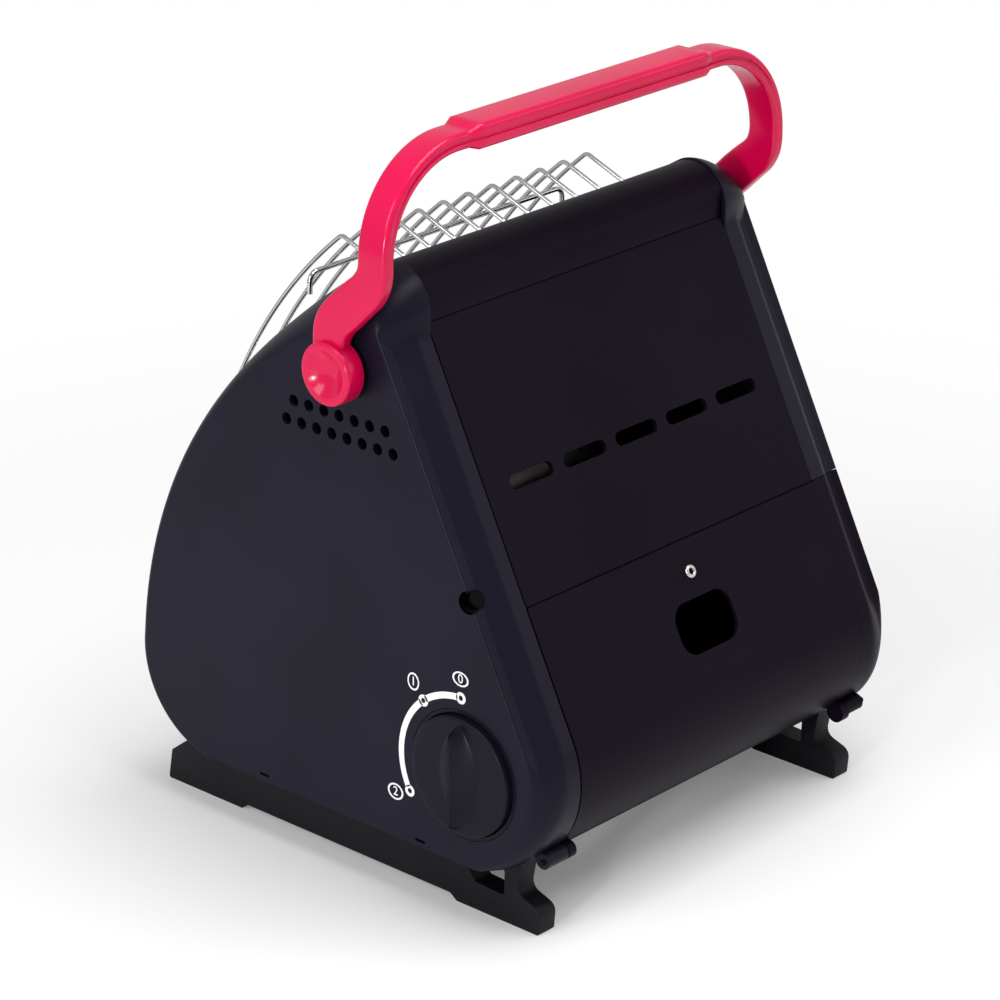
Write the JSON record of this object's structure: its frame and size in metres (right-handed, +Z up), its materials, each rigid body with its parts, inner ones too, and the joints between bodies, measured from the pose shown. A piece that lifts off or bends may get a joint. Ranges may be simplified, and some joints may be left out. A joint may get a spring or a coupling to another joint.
{
  "type": "portable gas heater",
  "caption": "Portable gas heater with a wedge-shaped casing, bowed wire guard, rear cartridge door, side control knob, skid feet and a folding bail handle.",
  "frame": {"origin": "on the ground under the middle of the heater's box", "axes": "+X to the knob side, +Y to the cartridge door at the rear, +Z up"},
  "size_m": [0.2848, 0.2619, 0.364],
  "materials": {
    "casing_plastic": "satin",
    "casing_paint": "satin",
    "frame_steel": "galvanised",
    "stand_plastic": "matte",
    "reflector_steel": "polished",
    "burner_steel": "brushed",
    "ceramic": "matte",
    "guard_chrome": "polished",
    "valve_brass": "satin",
    "knob_plastic": "satin",
    "handle_plastic": "glossy",
    "zinc_steel": "zinc plated"
  },
  "bodies": {
    "casing": {"side_panel_right": "casing_plastic", "side_panel_left": "casing_plastic", "side_frame_right": "frame_steel", "side_frame_left": "frame_steel", "top_cover": "casing_paint", "back_panel": "casing_paint", "base_plate": "casing_paint", "front_frame": "casing_paint", "stand_right": "stand_plastic", "stand_left": "stand_plastic", "reflector": "reflector_steel", "burner_box": "burner_steel", "ceramic_plaque": "ceramic", "burner_screen": "burner_steel", "spark_electrode": "ceramic", "thermocouple": "burner_steel", "guard": "guard_chrome", "cartridge_cradle": "frame_steel", "heat_shield": "frame_steel", "regulator": "valve_brass", "gas_pipe": "valve_brass", "gas_jet": "valve_brass", "mixing_tube": "burner_steel", "igniter": "knob_plastic", "knob_cup": "knob_plastic", "knob_spring": "zinc_steel", "hinge_pin_right": "zinc_steel", "hinge_pin_left": "zinc_steel", "handle_stud_right": "zinc_steel", "handle_stud_left": "zinc_steel", "cap_screw_right": "zinc_steel", "cap_screw_left": "zinc_steel"},
    "door": {"door": "casing_paint", "door_catch": "zinc_steel", "door_rivet": "guard_chrome"},
    "push": {"knob_collar": "knob_plastic"},
    "knob": {"knob": "knob_plastic", "knob_spindle": "valve_brass"},
    "handle": {"handle": "handle_plastic"}
  },
  "joints": [
    {"name": "door_hinge", "type": "hinge", "parent": "casing", "child": "door", "pos_m": [0, 0.12003, 0.04001], "axis": [-1, 0, 0], "range_deg": [0, 90]},
    {"name": "knob_push", "type": "slide", "parent": "casing", "child": "push", "axis": [-1, 0, 0], "range_m": [0, 0.003], "stiffness_N_per_m": 900, "springref_m": -0.002, "deforming": ["knob_spring"]},
    {"name": "knob_turn", "type": "hinge", "parent": "push", "child": "knob", "pos_m": [0, 0.0825, 0.076], "axis": [1, 0, 0], "range_deg": [0, 119]},
    {"name": "handle_swing", "type": "hinge", "parent": "casing", "child": "handle", "pos_m": [0, 0.0114, 0.255], "axis": [-1, 0, 0], "range_deg": [0, 105]}
  ]
}
